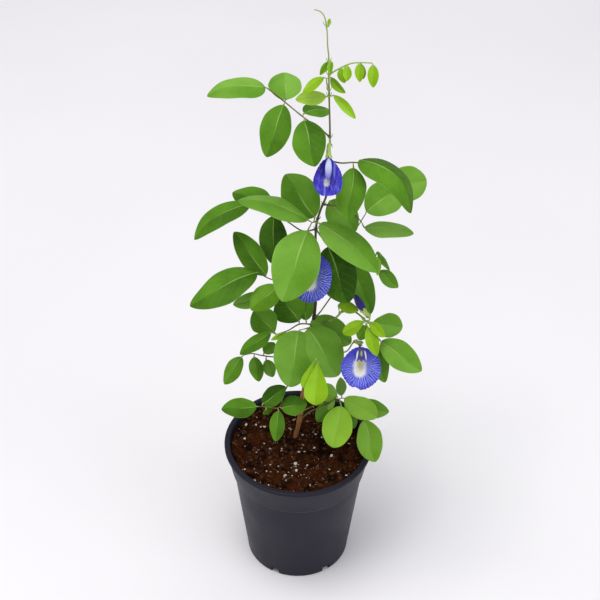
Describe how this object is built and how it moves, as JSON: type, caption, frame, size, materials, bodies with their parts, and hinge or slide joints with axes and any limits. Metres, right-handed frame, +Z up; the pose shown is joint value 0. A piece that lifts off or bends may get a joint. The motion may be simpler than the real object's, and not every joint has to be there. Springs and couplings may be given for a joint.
{
  "type": "potted climbing butterfly pea",
  "caption": "Young climbing butterfly pea with a slender stem, pinnate leaves, a bud and open blue flowers, growing from soil in a tapered black nursery pot.",
  "frame": {"origin": "centre of the pot's flat underside", "axes": "+Z up along the pot's axis, -Y towards the side the picture shows, +X to that side's right"},
  "size_m": [0.1529, 0.1384, 0.4458],
  "materials": {
    "pot": "satin",
    "soil": "matte crumbs",
    "stem": "matte bark",
    "shoot": "matte bark",
    "leaf": "satin",
    "young_leaf": "satin",
    "calyx": "satin",
    "petal": "velvety",
    "bud": "velvety"
  },
  "bodies": {
    "root": {"pot": "pot", "soil": "soil", "main_stem": "stem", "side_shoot": "shoot", "leaf_young_bud": "young_leaf", "leaf_tip": "young_leaf", "leaf_young_arch": "young_leaf", "leaf_young_upper": "young_leaf", "leaf_young_lower": "young_leaf", "leaf_top_left": "leaf", "leaf_right_upper": "leaf", "leaf_right_back": "leaf", "leaf_right_hanging": "leaf", "leaf_right_small": "leaf", "leaf_centre": "leaf", "leaf_far_left": "leaf", "leaf_left": "leaf", "leaf_left_low": "leaf", "leaf_front": "leaf", "leaf_young_front": "young_leaf", "leaf_left_small": "leaf", "leaf_low_left": "leaf", "leaf_low_right": "leaf", "leaf_low_right_back": "leaf", "leaf_back_middle": "leaf", "leaf_back_low": "leaf", "leaf_shoot_low_young": "young_leaf", "leaf_shoot_young": "young_leaf", "leaf_shoot_green": "leaf", "flower_top_calyx": "calyx", "flower_top_petals": "petal", "flower_middle_calyx": "calyx", "flower_middle_petals": "petal", "flower_right_calyx": "calyx", "flower_right_petals": "petal", "bud_calyx": "calyx", "bud_petals": "bud"}
  },
  "joints": []
}
